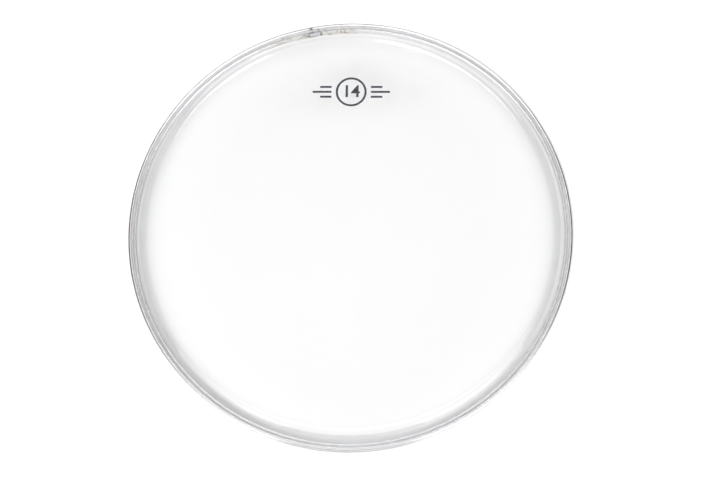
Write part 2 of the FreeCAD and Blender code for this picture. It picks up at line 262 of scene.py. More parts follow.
class MarkSettings(bpy.types.PropertyGroup):
    """Printed size mark."""

    size_text: StringProperty(name="Size", description="Nominal diameter in inches", default="14")
    centre_y: length("Place", "Axis to the middle of the mark, along Y", 117 * MM)
    ring_radius: length("Ring", "Outer radius of the ring", 13 * MM)
    ring_width: length("Ring width", "Width of the ring's line", 1.8 * MM)
    ring_steps: count("Ring steps", "Steps round the ring", 96)
    digit_height: length("Digits", "Size of the digits", 15 * MM)
    digit_bold: share("Bold", "Thickening of the digits, as a share of their size", 1 / 60)
    bar_length: length("Bar length", "Length of the bars beside the ring", 16 * MM)
    bar_width: length("Bar width", "Width of a bar", 1.8 * MM)
    bar_gap: length("Bar gap", "Distance between the bars", 4.4 * MM)
    short_bar: share("Short bars", "Length of the outer bars, as a share of the middle one", 0.6)
    ink_depth: length("Ink depth", "Thickness of the ink", 0.02 * MM)
    ink: colour("Ink", "Colour of the ink", (0.035, 0.035, 0.045))


class StageSettings(bpy.types.PropertyGroup):
    """Camera and floor."""

    elevation: angle("Elevation", "Camera's height above the floor", 74.04)
    azimuth: angle("Azimuth", "Camera's turn from -Y towards X", 7.37)
    roll: angle("Roll", "Turn of +Y away from straight up, clockwise", 0.8)
    distance: length("Distance", "Camera to the middle of the hoop", 1.3)
    scale: number("Scale", "Pixels to a metre at the hoop", 1203.5)
    centre_x: number("Centre x", "Pixel column of the middle", 349.7)
    centre_y: number("Centre y", "Pixel row of the middle", 230.2)
    picture_width: count("Width", "Picture width in pixels", 720)
    picture_height: count("Height", "Picture height in pixels", 480)
    floor_size: length("Floor size", "Side of the square floor", 12)
    floor_drop: length("Floor drop", "Gap between the floor and the hoop", 0.02 * MM)
    # The white inside the hoop is painted light, left out near the wall as painted shade
    floor_glow: share("Floor glow", "White added to the floor inside the hoop", 0.07)
    glow_edge: limits("Glow edge", "Where that white ends, out from the bore", -20 * MM, -5 * MM)
    surround_glow: share("Surround glow", "White added to the floor outside the hoop", 0.5)
    surround_edge: limits("Surround edge", "Where it sets in, out from the outline", -0.7 * MM, 2.3 * MM)
    mirror_share: share("Mirror share", "Share of the added white that metal mirrors", 0.2)
    floor_white: colour("Floor", "Colour of the floor", (0.90, 0.90, 0.90))


class DrumHeadSettings(bpy.types.PropertyGroup):
    """All settings of the drum head."""

    hoop: PointerProperty(type=HoopSettings)
    key: PointerProperty(type=KeySettings)
    resin: PointerProperty(type=ResinSettings)
    film: PointerProperty(type=FilmSettings)
    mark: PointerProperty(type=MarkSettings)
    stage: PointerProperty(type=StageSettings)


def head_settings():
    """The scene's drum head settings."""
    return bpy.context.scene.drum_head


def measured_from(place, distances):
    """Two limits at given distances from a place."""
    return [place + distance for distance in distances]


# Node helpers


def add_node(tree, kind, inputs, **settings):
    """New node with its settings, and its inputs linked to sockets or set to values."""
    node = tree.nodes.new(kind)
    for name, value in settings.items():
        setattr(node, name, value)
    for name, value in inputs.items():
        if isinstance(value, bpy.types.NodeSocket):
            tree.links.new(value, node.inputs[name])
        else:
            node.inputs[name].default_value = value
    return node


def result_of(tree, kind, inputs, **settings):
    """First output of a new node."""
    return add_node(tree, kind, inputs, **settings).outputs[0]


def math_node(tree, operation, *values, clamp=False):
    """Result of a math node on sockets and numbers."""
    return result_of(
        tree, "ShaderNodeMath", dict(enumerate(values)), operation=operation, use_clamp=clamp
    )


def times(tree, first, second):
    """Product of two values."""
    return math_node(tree, "MULTIPLY", first, second)


def added(tree, base, value, amount, clamp=False):
    """A base value plus an amount of another value."""
    return math_node(tree, "MULTIPLY_ADD", value, amount, base, clamp=clamp)


def split(tree, vector):
    """The three parts of a vector."""
    return add_node(tree, "ShaderNodeSeparateXYZ", {0: vector}).outputs


def joined(tree, parts):
    """Vector from some of its parts, given by their index."""
    return result_of(tree, "ShaderNodeCombineXYZ", parts)


def vector_value(tree, operation, *vectors):
    """Number that a vector math node makes of vectors."""
    node = add_node(tree, "ShaderNodeVectorMath", dict(enumerate(vectors)), operation=operation)
    return node.outputs["Value"]


def ramp(tree, value, low, high, low_result=0.0, high_result=1.0):
    """Smooth step of a value between two limits."""
    inputs = {
        "Value": value,
        "From Min": low,
        "From Max": high,
        "To Min": low_result,
        "To Max": high_result,
    }
    return result_of(tree, "ShaderNodeMapRange", inputs, interpolation_type="SMOOTHSTEP")


def fade(tree, value, low, high):
    """Smooth step of a value from one at the low limit to nothing at the high limit."""
    return ramp(tree, value, low, high, low_result=1.0, high_result=0.0)


def noise(tree, point, scale, detail, roughness=0.5, fourth=None):
    """Cloudy noise at a point, with a fourth coordinate where one is given."""
    inputs = {"Vector": point, "Scale": scale, "Detail": detail, "Roughness": roughness}
    if fourth is None:
        return result_of(tree, "ShaderNodeTexNoise", inputs)
    return result_of(tree, "ShaderNodeTexNoise", {**inputs, "W": fourth}, noise_dimensions="4D")


def noise_between(tree, value, least, most):
    """The usual values of a noise, stretched between two results."""
    return ramp(tree, value, *NOISE_SPAN, low_result=least, high_result=most)


def new_group(kind, name, inputs, outputs):
    """Node group with typed sockets. Returns the tree and the sockets of its input and output."""
    tree = bpy.data.node_groups.new(name, kind)
    for title, socket_type, default in inputs:
        socket = tree.interface.new_socket(name=title, in_out="INPUT", socket_type=socket_type)
        if default is not None:
            socket.default_value = default
    for title, socket_type in outputs:
        tree.interface.new_socket(name=title, in_out="OUTPUT", socket_type=socket_type)
    given = tree.nodes.new("NodeGroupInput").outputs if inputs else ()
    return tree, given, tree.nodes.new("NodeGroupOutput").inputs


# Geometry trees


def new_geometry_tree(name, sizes):
    """Geometry tree with inputs for its sizes and its material."""
    inputs = (
        ("Geometry", "NodeSocketGeometry", None),
        *sizes,
        ("Material", "NodeSocketMaterial", None),
    )
    return new_group("GeometryNodeTree", name, inputs, (("Geometry", "NodeSocketGeometry"),))


def finish_geometry(tree, geometry, given, result):
    """Ends a geometry tree: smooth shading, no instances and one material."""
    smooth = result_of(tree, "GeometryNodeSetShadeSmooth", {"Geometry": geometry})
    real = result_of(tree, "GeometryNodeRealizeInstances", {"Geometry": smooth})
    inputs = {"Geometry": real, "Material": given["Material"]}
    tree.links.new(result_of(tree, "GeometryNodeSetMaterial", inputs), result["Geometry"])


def add_tree(piece, name, values):
    """Geometry Nodes modifier on a piece, with its inputs set by identifier."""
    tree = bpy.data.node_groups[name]
    modifier = piece.modifiers.new(name, "NODES")
    modifier.node_group = tree
    for item in tree.interface.items_tree:
        if item.in_out == "INPUT" and item.name in values:
            modifier[item.identifier] = values[item.name]


def turned_section_tree():
    """Turns a section of points (radius, 0, height) about Z, with rounds at its corners."""
    tree, given, result = new_geometry_tree(
        "Turned section",
        (
            ("Path Radius", "NodeSocketFloat", 0.1),
            ("Start", "NodeSocketFloat", 0.0),
            ("Sweep", "NodeSocketFloat", FULL_TURN),
            ("Segments", "NodeSocketInt", 360),
            ("Round Steps", "NodeSocketInt", 8),
            ("Cap Ends", "NodeSocketBool", False),
            ("Weld", "NodeSocketFloat", 1e-6),
        ),
    )
    outline = result_of(tree, "GeometryNodeMeshToCurve", {"Mesh": given["Geometry"]})
    rounding = result_of(tree, "GeometryNodeInputNamedAttribute", {"Name": ROUND_LAYER}, data_type="FLOAT")
    inputs = {"Curve": outline, "Count": given["Round Steps"], "Radius": rounding}
    rounded = result_of(tree, "GeometryNodeFilletCurve", inputs, mode="POLY")
    parts = split(tree, result_of(tree, "GeometryNodeInputPosition", {}))
    across = math_node(tree, "SUBTRACT", parts[0], given["Path Radius"])
    flat = joined(tree, {0: across, 1: times(tree, parts[2], -1.0)})
    profile = result_of(tree, "GeometryNodeSetPosition", {"Geometry": rounded, "Position": flat})
    # Without caps the path is closed, so its last point lies one step before its first
    points = math_node(tree, "ADD", given["Segments"], given["Cap Ends"])
    steps = math_node(tree, "SUBTRACT", points, 1)
    part_turn = math_node(tree, "DIVIDE", steps, given["Segments"])
    inputs = {
        "Resolution": points,
        "Radius": given["Path Radius"],
        "Start Angle": given["Start"],
        "Sweep Angle": times(tree, given["Sweep"], part_turn),
    }
    arc = result_of(tree, "GeometryNodeCurveArc", inputs, mode="RADIUS")
    closed = result_of(tree, "FunctionNodeBooleanMath", {0: given["Cap Ends"]}, operation="NOT")
    path = result_of(tree, "GeometryNodeSetSplineCyclic", {"Geometry": arc, "Cyclic": closed})
    inputs = {"Curve": path, "Profile Curve": profile, "Fill Caps": given["Cap Ends"]}
    swept = result_of(tree, "GeometryNodeCurveToMesh", inputs)
    inputs = {"Geometry": swept, "Distance": given["Weld"]}
    welded = result_of(tree, "GeometryNodeMergeByDistance", inputs)
    finish_geometry(tree, welded, given, result)


def slot_row_tree():
    """Cuts a row of upright slots through a turned piece, evenly spaced about Z."""
    tree, given, result = new_geometry_tree(
        "Slot row",
        (
            ("Count", "NodeSocketInt", 24),
            ("Radius", "NodeSocketFloat", 0.1),
            ("Middle", "NodeSocketFloat", 0.0),
            ("Length", "NodeSocketFloat", 0.006),
            ("Height", "NodeSocketFloat", 0.001),
            ("Depth", "NodeSocketFloat", 0.001),
        ),
    )
    inputs = {"Vertices": given["Count"], "Radius": given["Radius"]}
    ring = result_of(tree, "GeometryNodeMeshCircle", inputs)
    size = joined(tree, {0: given["Depth"], 1: given["Length"], 2: given["Height"]})
    box = result_of(tree, "GeometryNodeMeshCube", {"Size": size})
    place = result_of(tree, "GeometryNodeInputPosition", {})
    outward = result_of(tree, "FunctionNodeAlignRotationToVector", {"Vector": place}, axis="X")
    inputs = {"Points": ring, "Instance": box, "Rotation": outward}
    boxes = result_of(tree, "GeometryNodeInstanceOnPoints", inputs)
    half_pitch = math_node(tree, "DIVIDE", math.pi, given["Count"])
    inputs = {
        "Geometry": boxes,
        "Translation": joined(tree, {2: given["Middle"]}),
        "Rotation": joined(tree, {2: half_pitch}),
    }
    placed = result_of(tree, "GeometryNodeTransform", inputs)
    cutters = result_of(tree, "GeometryNodeRealizeInstances", {"Geometry": placed})
    inputs = {"Mesh 1": given["Geometry"], "Mesh 2": cutters}
    cut = result_of(tree, "GeometryNodeMeshBoolean", inputs, operation="DIFFERENCE", solver="EXACT")
    finish_geometry(tree, cut, given, result)


def poured_surface_tree():
    """Makes the points of a piece above a height uneven, as a poured surface is."""
    tree, given, result = new_geometry_tree(
        "Poured surface",
        (
            ("Above", "NodeSocketFloat", 0.0),
            ("Ripple", "NodeSocketFloat", 0.0002),
            ("Grain", "NodeSocketFloat", 120.0),
            ("Seed", "NodeSocketFloat", 3.0),
        ),
    )
    place = result_of(tree, "GeometryNodeInputPosition", {})
    high = math_node(tree, "GREATER_THAN", split(tree, place)[2], given["Above"])
    waves = noise(tree, place, given["Grain"], detail=3.0, fourth=given["Seed"])
    amount = times(tree, math_node(tree, "SUBTRACT", waves, 0.5), given["Ripple"])
    offset = joined(tree, {2: times(tree, amount, high)})
    inputs = {"Geometry": given["Geometry"], "Offset": offset}
    finish_geometry(tree, result_of(tree, "GeometryNodeSetPosition", inputs), given, result)


# Mesh helpers


def new_piece(name, mesh):
    """Object for a finished piece, at the origin."""
    piece = bpy.data.objects.new(name, mesh)
    bpy.context.scene.collection.objects.link(piece)
    return piece


def section_mesh(name, corners, closed):
    """Section line through corners (radius, height, rounding)."""
    mesh = bpy.data.meshes.new(name)
    edges = [(index, index + 1) for index in range(len(corners) - 1)]
    if closed:
        edges.append((len(corners) - 1, 0))
    mesh.from_pydata([(radius, 0, height) for radius, height, rounding in corners], edges, [])
    rounds = mesh.attributes.new(ROUND_LAYER, "FLOAT", "POINT")
    rounds.data.foreach_set("value", [rounding for radius, height, rounding in corners])
    return mesh


def mesh_from(surface, name):
    """New mesh from a bmesh, which is freed."""
    mesh = bpy.data.meshes.new(name)
    surface.to_mesh(mesh)
    surface.free()
    return mesh


def plain_mesh(holder):
    """Plain mesh of an object as its modifiers leave it."""
    graph = bpy.context.evaluated_depsgraph_get()
    return bpy.data.meshes.new_from_object(holder.evaluated_get(graph))


def weld(surface):
    """Merges the doubled points of a bmesh and turns its faces outwards."""
    bmesh.ops.remove_doubles(surface, verts=surface.verts, dist=WELD_DISTANCE)
    bmesh.ops.recalc_face_normals(surface, faces=surface.faces)


def settle(piece):
    """Replaces a piece's mesh by the result of its modifiers, welded and facing outwards."""
    mesh = plain_mesh(piece)
    piece.modifiers.clear()
    piece.data = mesh
    surface = bmesh.new()
    surface.from_mesh(mesh)
    weld(surface)
    surface.to_mesh(mesh)
    surface.free()
    for layer in [layer for layer in mesh.attributes if layer.name == ROUND_LAYER]:
        mesh.attributes.remove(layer)
    mesh.set_sharp_from_angle(angle=SHARP_ANGLE)
    mesh.name = piece.name


def cut_block(piece, turn, inner, outer, span, low, high):
    """Cuts a block out of a piece, between two radii and two heights, in a direction about Z."""
    middle = ((inner + outer) / 2, 0, (low + high) / 2)
    size = (outer - inner, span, high - low, 1)
    place = Matrix.Rotation(turn, 4, "Z") @ Matrix.Translation(middle) @ Matrix.Diagonal(size)
    surface = bmesh.new()
    bmesh.ops.create_cube(surface, size=1, matrix=place)
    block = new_piece("cut_block", mesh_from(surface, "cut_block"))
    cut = piece.modifiers.new("Cut", "BOOLEAN")
    cut.operation = "DIFFERENCE"
    cut.solver = "EXACT"
    cut.object = block
    settle(piece)
    bpy.data.objects.remove(block)


def dress(piece, node=None):
    """Puts a finished piece on the body, and hides the CAD node that it stands for."""
    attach(piece, BODY)
    if node:
        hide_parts(node)


# Shader groups


def ring_position_group():
    """Distance from the head's axis, height and direction round it, from Object coordinates."""
    tree, _, result = new_group(
        "ShaderNodeTree",
        "Ring position",
        (),
        (
            ("Radius", "NodeSocketFloat"),
            ("Height", "NodeSocketFloat"),
            ("Angle", "NodeSocketFloat"),
            ("Point", "NodeSocketVector"),
        ),
    )
    place = add_node(tree, "ShaderNodeTexCoord", {}).outputs["Object"]
    parts = split(tree, place)
    found = {
        "Radius": vector_value(tree, "LENGTH", joined(tree, {0: parts[0], 1: parts[1]})),
        "Height": parts[2],
        "Angle": math_node(tree, "ARCTAN2", parts[1], parts[0]),
        "Point": place,
    }
    for name, socket in found.items():
        tree.links.new(socket, result[name])


def drawn_lines_group():
    """Fine lines that run round the ring, as a rolled and drawn metal has, and soft blotches."""
    tree, given, result = new_group(
        "ShaderNodeTree",
        "Drawn lines",
        (
            ("Point", "NodeSocketVector", None),
            ("Radius", "NodeSocketFloat", 0.0),
            ("Fineness", "NodeSocketFloat", 9000.0),
            ("Drift", "NodeSocketFloat", 14.0),
        ),
        (("Lines", "NodeSocketFloat"), ("Blotches", "NodeSocketFloat")),
    )
    parts = split(tree, given["Point"])
    across = times(tree, given["Radius"], given["Fineness"])
    up = times(tree, parts[2], given["Fineness"])
    along = times(tree, parts[0], given["Drift"])
    aside = times(tree, parts[1], given["Drift"])
    stretched = joined(tree, {0: across, 1: along, 2: aside})
    lines = noise(tree, stretched, scale=1.0, detail=3.0, fourth=up)
    blotches = noise(tree, given["Point"], scale=90.0, detail=5.0, roughness=0.65)
    tree.links.new(lines, result["Lines"])
    tree.links.new(blotches, result["Blotches"])


def specks_group():
    """Sparse round specks, as of dust or small pits."""
    tree, given, result = new_group(
        "ShaderNodeTree",
        "Specks",
        (
            ("Point", "NodeSocketVector", None),
            ("Density", "NodeSocketFloat", 60.0),
            ("Size", "NodeSocketFloat", 0.06),
            ("Share", "NodeSocketFloat", 0.3),
        ),
        (("Mask", "NodeSocketFloat"),),
    )
    inputs = {"Vector": given["Point"], "Scale": given["Density"]}
    cells = add_node(tree, "ShaderNodeTexVoronoi", inputs).outputs
    picked = add_node(tree, "ShaderNodeSeparateColor", {0: cells["Color"]}).outputs
    kept = math_node(tree, "LESS_THAN", picked[0], given["Share"])
    reach = times(tree, picked[1], given["Size"])
    near = math_node(tree, "LESS_THAN", cells["Distance"], reach)
    tree.links.new(times(tree, kept, near), result["Mask"])


# Material helpers


def new_material(name):
    """Empty node material. Returns it, its tree and the socket for its surface."""
    material = bpy.data.materials.new(name)
    material.use_nodes = True
    tree = material.node_tree
    tree.nodes.clear()
    return material, tree, tree.nodes.new("ShaderNodeOutputMaterial").inputs["Surface"]


def use_group(tree, name, inputs):
    """Places a shader group in a material. Returns its output sockets."""
    return add_node(tree, "ShaderNodeGroup", inputs, node_tree=bpy.data.node_groups[name]).outputs


def specks(tree, ring, density, size, kept):
    """Mask of specks in a material, with the share of them that is kept."""
    inputs = {"Point": ring["Point"], "Density": density, "Size": size, "Share": kept}
    return use_group(tree, "Specks", inputs)["Mask"]


def turn_from(tree, ring, turn):
    """Turn about the head's axis between a point and a direction."""
    return math_node(tree, "ABSOLUTE", math_node(tree, "SUBTRACT", ring["Angle"], turn))


def blend_colours(tree, factor, first, second):
    """Mix of two colours, each a socket or a linear colour."""
    inputs = {"Factor": factor}
    for name, value in (("A", first), ("B", second)):
        inputs[name] = value if isinstance(value, bpy.types.NodeSocket) else (*value, 1)
    return add_node(tree, "ShaderNodeMix", inputs, data_type="RGBA").outputs["Result"]


def shaded(colour_value, by):
    """A linear colour times a number."""
    return tuple(channel * by for channel in colour_value)


def bump(tree, height, distance, strength):
    """Normal from a height."""
    inputs = {"Height": height, "Distance": distance, "Strength": strength}
    return result_of(tree, "ShaderNodeBump", inputs)


def principled(tree, inputs):
    """Principled shader with its inputs linked or set."""
    return result_of(tree, "ShaderNodeBsdfPrincipled", inputs)


# Materials


def rim_shade_mask(tree, ring, hoop):
    """Painted shade on the rim: a darker lip edge away from the near side, standing in for dark
    reflections, and a painted contact shadow on the outer wall's foot at the near side.
    """
    outer = hoop.outer_radius
    clear_to, shade_from = -0.55 * outer, -0.15 * outer
    near_from, near_to = -0.98 * outer, -0.93 * outer
    rim = ramp(tree, ring["Radius"], *measured_from(outer, hoop.rim_shade_band))
    edge = ramp(tree, ring["Height"], *measured_from(hoop.height, hoop.edge_shade_band))
    foot = ramp(tree, ring["Height"], *hoop.foot_shade_band, low_result=0.95, high_result=0.4)
    across = split(tree, ring["Point"])[1]
    edge = times(tree, edge, ramp(tree, across, clear_to, shade_from))
    foot = times(tree, foot, fade(tree, across, near_from, near_to))
    return times(tree, rim, math_node(tree, "MAXIMUM", edge, foot))


def seam_dirt_and_shade(tree, ring, tone, hoop):
    """Adds to a colour: resin smeared on the inner wall near the seam, brown smudges, and painted shadow on
    the seam's edges.
    """
    away = times(tree, turn_from(tree, ring, hoop.seam_angle), hoop.outer_radius)
    inner = fade(tree, ring["Radius"], *measured_from(hoop.groove_radius, hoop.smear_depth))
    near = times(tree, inner, fade(tree, away, *hoop.smear_reach))
    tone = blend_colours(tree, near, tone, hoop.smear)
    stains = noise(tree, ring["Point"], scale=260.0, detail=3.0, roughness=0.6)
    smudges = times(tree, ramp(tree, stains, low=0.53, high=0.63), near)
    tone = blend_colours(tree, smudges, tone, hoop.smudge)
    # Painted shadow: the seam's edges darkened as if its gap were in shade
    edges = fade(tree, away, *measured_from(hoop.seam_gap / 2, hoop.seam_shade_reach))
    return blend_colours(tree, edges, tone, hoop.seam_shade)


def aluminium_material(hoop):
    """Bare aluminium with drawn lines, blotches and small pits, painted shade on the rim, and dirt near the
    seam with a painted shadow on its edges.
    """
    material, tree, surface = new_material("hoop_aluminium")
    ring = use_group(tree, "Ring position", {})
    drawn = use_group(tree, "Drawn lines", {"Point": ring["Point"], "Radius": ring["Radius"]})
    pits = specks(tree, ring, density=420.0, size=0.16, kept=0.16)
    blotches = ramp(tree, drawn["Blotches"], low=0.32, high=0.68)
    tone = blend_colours(tree, blotches, shaded(hoop.metal, by=0.96), hoop.metal)
    tone = blend_colours(tree, pits, tone, shaded(hoop.metal, by=0.45))
    # Painted shade: the rim's edge darkened in place of dark reflections, and its near foot in place of a
    # contact shadow
    tone = blend_colours(tree, rim_shade_mask(tree, ring, hoop), tone, hoop.rim_shade)
    tone = seam_dirt_and_shade(tree, ring, tone, hoop)
    lines = noise_between(tree, drawn["Lines"], least=0.15, most=0.25)
    relief = added(tree, drawn["Lines"], pits, amount=-0.6)
    inputs = {
        "Base Color": tone,
        "Metallic": 1.0,
        "Roughness": added(tree, lines, blotches, amount=0.06),
        "Normal": bump(tree, relief, distance=0.02 * MM, strength=0.5),
    }
    tree.links.new(principled(tree, inputs), surface)
    return material


def key_material(key):
    """Dull metal with resin smeared over it, and painted shadow at its ends and its rear."""
    material, tree, surface = new_material("key_metal")
    ring = use_group(tree, "Ring position", {})
    inputs = {"Point": ring["Point"], "Radius": ring["Radius"], "Fineness": 5000.0}
    drawn = use_group(tree, "Drawn lines", inputs)
    smear = ramp(tree, drawn["Blotches"], low=0.46, high=0.62)
    tone = blend_colours(tree, smear, key.metal, shaded(key.metal, by=1.2))
    inputs = {"Vector": ring["Point"], "Rotation": (0, 0, -key.turn)}
    turned = result_of(tree, "ShaderNodeMapping", inputs)
    along = math_node(tree, "ABSOLUTE", split(tree, turned)[1])
    # Painted shadow: the key's ends and rear darkened as if the gaps round them were in shade
    ends = ramp(tree, along, *measured_from(key.span / 2, key.end_shade))
    rear = ramp(tree, ring["Radius"], *measured_from(key.outer_radius, key.rear_shade))
    inputs = {
        "Base Color": blend_colours(tree, math_node(tree, "MAXIMUM", ends, rear), tone, key.gap_shade),
        "Metallic": 1.0,
        "Roughness": noise_between(tree, drawn["Lines"], least=0.34, most=0.5),
        "Normal": bump(tree, drawn["Lines"], distance=0.03 * MM, strength=0.5),
    }
    tree.links.new(principled(tree, inputs), surface)
    return material


def resin_material(resin, seam_angle):
    """Cream cast resin with cloudy streaks, bubbles, and brown stains near the seam."""
    material, tree, surface = new_material("resin_cast")
    ring = use_group(tree, "Ring position", {})
    bubbles = specks(tree, ring, density=700.0, size=0.3, kept=0.2)
    clouds = noise(tree, ring["Point"], scale=160.0, detail=4.0, roughness=0.6)
    cloudy = ramp(tree, clouds, low=0.35, high=0.65)
    tone = blend_colours(tree, cloudy, shaded(resin.cream, by=0.9), resin.cream)
    near_seam = fade(tree, turn_from(tree, ring, seam_angle), resin.stain_full, resin.stain_end)
    stains = noise(tree, ring["Point"], scale=420.0, detail=3.0, roughness=0.6)
    stained = times(tree, ramp(tree, stains, low=0.56, high=0.68), near_seam)
    tone = blend_colours(tree, stained, tone, resin.stain)
    tone = blend_colours(tree, bubbles, tone, shaded(resin.cream, by=0.5))
    relief = added(tree, clouds, bubbles, amount=-0.5)
    inputs = {
        "Base Color": tone,
        "Roughness": noise_between(tree, clouds, least=0.12, most=0.3),
        "IOR": 1.54,
        # Painted light: the resin's own colour glows, brightening it where the groove is in shade
        "Emission Color": tone,
        "Emission Strength": resin.painted_glow,
        "Normal": bump(tree, relief, distance=0.15 * MM, strength=0.6),
    }
    tree.links.new(principled(tree, inputs), surface)
    return material


def film_ribs(tree, ring, film):
    """Height of the short ribs across the shoulder's bend, on one stretch of the film."""
    ribbed = fade(tree, turn_from(tree, ring, film.rib_angle), film.rib_spread / 2, film.rib_spread)
    start, end = measured_from(film.skirt_radius, film.rib_band)
    begun = ramp(tree, ring["Radius"], start, start + film.rib_taper)
    on_bend = times(tree, begun, fade(tree, ring["Radius"], end - film.rib_taper, end))
    rib_turns = FULL_TURN * film.skirt_radius / film.rib_pitch
    waves = math_node(tree, "SINE", times(tree, ring["Angle"], rib_turns))
    crests = math_node(tree, "MAXIMUM", waves, 0.0)
    return times(tree, crests, times(tree, ribbed, on_bend))


def film_material(film):
    """Clear glossy film: mirror-like at a glancing look, hazier where it was drawn, with some ribs."""
    material, tree, surface = new_material("film_clear")
    ring = use_group(tree, "Ring position", {})
    dust = specks(tree, ring, density=55.0, size=0.022, kept=0.12)
    ribs = film_ribs(tree, ring, film)
    waves = noise(tree, ring["Point"], scale=16.0, detail=2.0)
    cloud = noise(tree, ring["Point"], scale=60.0, detail=4.0)
    drawn_out = ramp(tree, ring["Radius"], *measured_from(film.skirt_radius, film.haze_band))
    haze = noise_between(tree, cloud, least=0.01, most=0.03)
    glance = add_node(tree, "ShaderNodeLayerWeight", {"Blend": 0.5}).outputs["Facing"]
    steep = math_node(tree, "POWER", glance, film.glance_power)
    cover = added(tree, film.face_mirror, steep, film.glance_mirror)
    cover = math_node(tree, "ADD", cover, times(tree, haze, drawn_out))
    cover = added(tree, cover, ribs, amount=0.7)
    cover = added(tree, cover, dust, amount=0.5, clamp=True)
    tone = blend_colours(tree, ribs, film.tint, (1, 1, 1))
    relief = added(tree, waves, ribs, amount=0.1)
    inputs = {
        "Base Color": blend_colours(tree, dust, tone, shaded(film.tint, by=0.4)),
        "Metallic": 1.0,
        "Roughness": noise_between(tree, cloud, least=0.03, most=0.07),
        "Normal": bump(tree, relief, distance=0.4 * MM, strength=0.35),
    }
    sheen = principled(tree, inputs)
    clear = result_of(tree, "ShaderNodeBsdfTransparent", {})
    mixed = result_of(tree, "ShaderNodeMixShader", {0: cover, 1: clear, 2: sheen})
    tree.links.new(mixed, surface)
    return material


def ink_material(mark):
    """Screen-printed ink, slightly uneven, with a few pinholes."""
    material, tree, surface = new_material("print_ink")
    ring = use_group(tree, "Ring position", {})
    holes = specks(tree, ring, density=900.0, size=0.2, kept=0.15)
    cover = noise(tree, ring["Point"], scale=500.0, detail=3.0)
    thin = ramp(tree, cover, low=0.35, high=0.7)
    tone = blend_colours(tree, thin, mark.ink, shaded(mark.ink, by=1.9))
    inputs = {
        "Base Color": blend_colours(tree, holes, tone, shaded(mark.ink, by=4)),
        "Roughness": noise_between(tree, cover, least=0.4, most=0.55),
        "Normal": bump(tree, cover, distance=0.01 * MM, strength=0.5),
    }
    tree.links.new(principled(tree, inputs), surface)
    return material


def floor_material(stage):
    """White floor that keeps its shadows, with white added inside the hoop and round its outline."""
    material, tree, surface = new_material("studio_floor")
    place = add_node(tree, "ShaderNodeTexCoord", {}).outputs["Object"]
    grain = noise(tree, place, scale=3.0, detail=2.0)
    tone = blend_colours(tree, grain, shaded(stage.floor_white, by=0.99), stage.floor_white)
    paper = result_of(tree, "ShaderNodeBsdfDiffuse", {"Color": tone})
    path = add_node(tree, "ShaderNodeLightPath", {}).outputs
    seen = math_node(tree, "ADD", path["Is Camera Ray"], path["Is Transmission Ray"])
    seen = added(tree, seen, path["Is Glossy Ray"], stage.mirror_share, clamp=True)
    span = vector_value(tree, "LENGTH", place)
    # The white added inside fades out towards the bore: painted shade on the floor beside the hoop's wall
    edge = measured_from(BORE_RADIUS, stage.glow_edge)
    inside = ramp(tree, span, *edge, low_result=stage.floor_glow, high_result=0.0)
    # The hoop's height hides a strip of floor behind it in the photograph's framing
    hidden = HOOP_HEIGHT / 2 / math.tan(stage.elevation)
    behind = Vector((-math.sin(stage.azimuth), math.cos(stage.azimuth), 0)) * hidden
    span = vector_value(tree, "DISTANCE", place, behind)
    edge = measured_from(OUTER_RADIUS + hidden, stage.surround_edge)
    around = ramp(tree, span, *edge, low_result=0.0, high_result=stage.surround_glow)
    painted_glow = times(tree, seen, math_node(tree, "ADD", inside, around))
    white = result_of(tree, "ShaderNodeEmission", {"Strength": painted_glow})
    tree.links.new(result_of(tree, "ShaderNodeAddShader", {0: paper, 1: white}), surface)
    return material


# Pieces


class DRUMHEAD_OT_channel_hoop(bpy.types.Operator):
    """Make the aluminium channel hoop with its open seam"""

    bl_idname = "drumhead.channel_hoop"
    bl_label = "Channel hoop"

    def execute(self, context):
        hoop = head_settings().hoop
        key = head_settings().key
        film = head_settings().film
        lip_radius = hoop.outer_radius - hoop.lip_width
        lip_underside = hoop.height - hoop.lip_thickness
        corners = (
            (hoop.outer_radius, 0, hoop.base_round),
            (hoop.outer_radius, hoop.height, hoop.lip_round),
            (lip_radius, hoop.height, hoop.nose_round),
            (lip_radius, lip_underside, hoop.nose_round),
            (hoop.cavity_radius, lip_underside, hoop.channel_round),
            (hoop.cavity_radius, hoop.floor_top, hoop.channel_round),
            (hoop.groove_radius, hoop.floor_top, hoop.channel_round),
            (hoop.groove_radius, hoop.wall_height, hoop.wall_round),
            (hoop.bore_radius, hoop.wall_height, hoop.wall_round),
            (hoop.bore_radius, 0, hoop.base_round),
        )
        piece = new_piece("hoop_channel", section_mesh("hoop_section", corners, closed=True))
        gap_turn = hoop.seam_gap / hoop.outer_radius
        turned = {
            "Path Radius": hoop.bore_radius,
            "Start": hoop.seam_angle + gap_turn / 2,
            "Sweep": FULL_TURN - gap_turn,
            "Segments": hoop.segments,
            "Round Steps": hoop.round_steps,
            "Cap Ends": True,
            "Material": aluminium_material(hoop),
        }
        add_tree(piece, "Turned section", turned)
        cut_block(
            piece,
            key.turn,
            inner=hoop.bore_radius - OVERRUN,
            outer=film.skirt_radius - film.gauge,
            span=key.span + 2 * key.notch_gap,
            low=hoop.floor_top,
            high=hoop.wall_height + OVERRUN,
        )
        dress(piece, "channel_hoop")
        return {"FINISHED"}


class DRUMHEAD_OT_splice_key(bpy.types.Operator):
    """Give the key across the seam its finish"""

    bl_idname = "drumhead.splice_key"
    bl_label = "Splice key"

    def execute(self, context):
        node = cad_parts["splice_key"]
        node.data.materials.clear()
        node.data.materials.append(key_material(head_settings().key))
        return {"FINISHED"}


